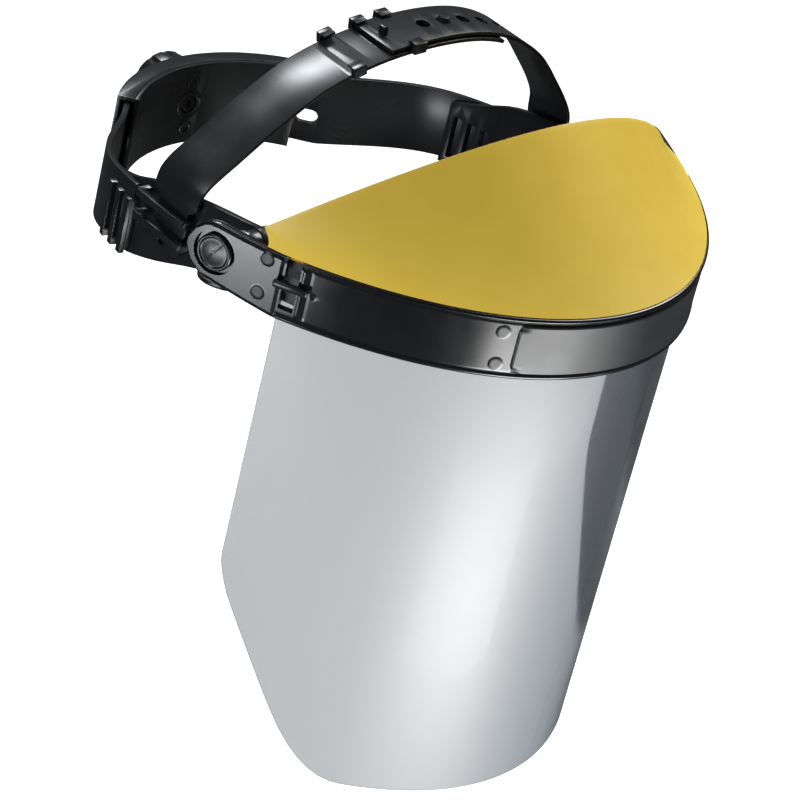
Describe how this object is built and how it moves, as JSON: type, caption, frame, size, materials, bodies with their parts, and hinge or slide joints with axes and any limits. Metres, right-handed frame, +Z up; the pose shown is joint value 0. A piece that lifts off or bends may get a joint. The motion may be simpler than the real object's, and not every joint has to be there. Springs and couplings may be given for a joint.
{
  "type": "face shield",
  "caption": "Browguard face shield: a clear wraparound window and yellow brow guard on a black band that tilts up from an adjustable headband with a crown strap and rear knob.",
  "frame": {"origin": "middle of the axis the visor tilts about, between the wearer's temples", "axes": "+Z up when worn, the wearer faces -Y, +X is the wearer's left"},
  "size_m": [0.2144, 0.2532, 0.2429],
  "materials": {
    "black_satin": "satin",
    "black_gloss": "semi-gloss",
    "yellow": "satin",
    "clear_window": "clear",
    "steel": "plain",
    "foam": "matt"
  },
  "bodies": {
    "headgear": {"headband": "black_satin", "sweatband": "foam", "crown_strap_right": "black_satin", "crown_strap_left": "black_satin", "rear_strap_right": "black_satin", "rear_strap_left": "black_satin", "housing_outer": "black_satin", "housing_inner": "black_satin", "detent_spring": "steel", "pivot_post_right": "black_satin", "pivot_post_left": "black_satin", "friction_washer_right": "steel", "friction_washer_left": "steel"},
    "visor": {"visor_frame": "black_gloss", "visor_window": "clear_window", "brow_guard": "yellow", "pivot_button_right": "black_satin", "pivot_button_left": "black_satin"},
    "catch_right": {"window_catch_right": "black_satin"},
    "catch_left": {"window_catch_left": "black_satin"},
    "knob": {"adjuster_knob": "black_satin", "pinion": "black_satin", "knob_screw": "steel"},
    "rack_right_body": {"rack_right": "black_satin"},
    "rack_left_body": {"rack_left": "black_satin"}
  },
  "joints": [
    {"name": "visor_tilt", "type": "hinge", "parent": "headgear", "child": "visor", "pos_m": [0, 0, 0], "axis": [-1, 0, 0], "range_deg": [0, 70]},
    {"name": "catch_right_turn", "type": "hinge", "parent": "visor", "child": "catch_right", "pos_m": [-0.08993, -0.03145, 0], "axis": [-0.8726, -0.4884, 0], "range_deg": [0, 90]},
    {"name": "catch_left_turn", "type": "hinge", "parent": "visor", "child": "catch_left", "pos_m": [0.08993, -0.03145, 0], "axis": [-0.8726, 0.4884, 0], "range_deg": [0, 90]},
    {"name": "knob_turn", "type": "hinge", "parent": "headgear", "child": "knob", "pos_m": [0, 0.1456, -0.034], "axis": [0, 1, 0], "range_deg": [-110, 110]},
    {"name": "rack_right_slide", "type": "hinge", "parent": "headgear", "child": "rack_right_body", "pos_m": [0, 0.0807, -0.034], "axis": [0, 0, 1], "range_deg": [-9.1, 9.1]},
    {"name": "rack_left_slide", "type": "hinge", "parent": "headgear", "child": "rack_left_body", "pos_m": [0, 0.0807, -0.034], "axis": [0, 0, 1], "range_deg": [-9.1, 9.1]}
  ],
  "couplings": [
    {"joint": "rack_right_slide", "follows": "knob_turn", "ratio": -0.08217},
    {"joint": "rack_left_slide", "follows": "knob_turn", "ratio": 0.08217}
  ]
}
